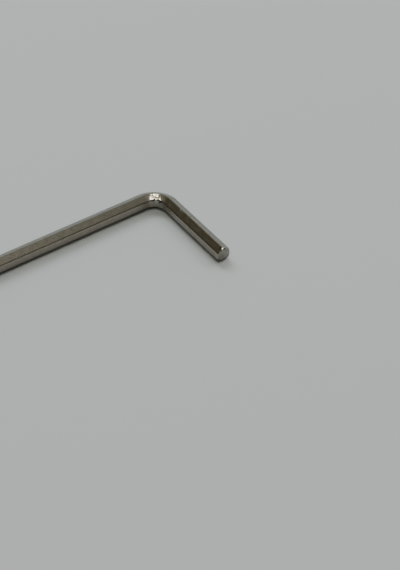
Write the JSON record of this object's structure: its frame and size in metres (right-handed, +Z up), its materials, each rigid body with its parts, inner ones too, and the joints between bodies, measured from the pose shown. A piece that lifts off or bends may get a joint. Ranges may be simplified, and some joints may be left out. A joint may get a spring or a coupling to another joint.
{
  "type": "hex key",
  "caption": "Short L-shaped hexagonal key: one bright plated steel bar bent through a right angle, with a chamfered tip on each arm.",
  "frame": {"origin": "middle of the base of the bounding box, on the surface the key lies on", "axes": "+Z up; the long arm runs along X with its free end towards -X; the short arm runs from the bend towards -Y"},
  "size_m": [0.0584, 0.0202, 0.0028],
  "materials": {
    "plated_steel": "bright nickel plate over drawn steel, slightly satin along the bar"
  },
  "bodies": {
    "root": {"hex_key": "plated_steel"}
  },
  "joints": []
}
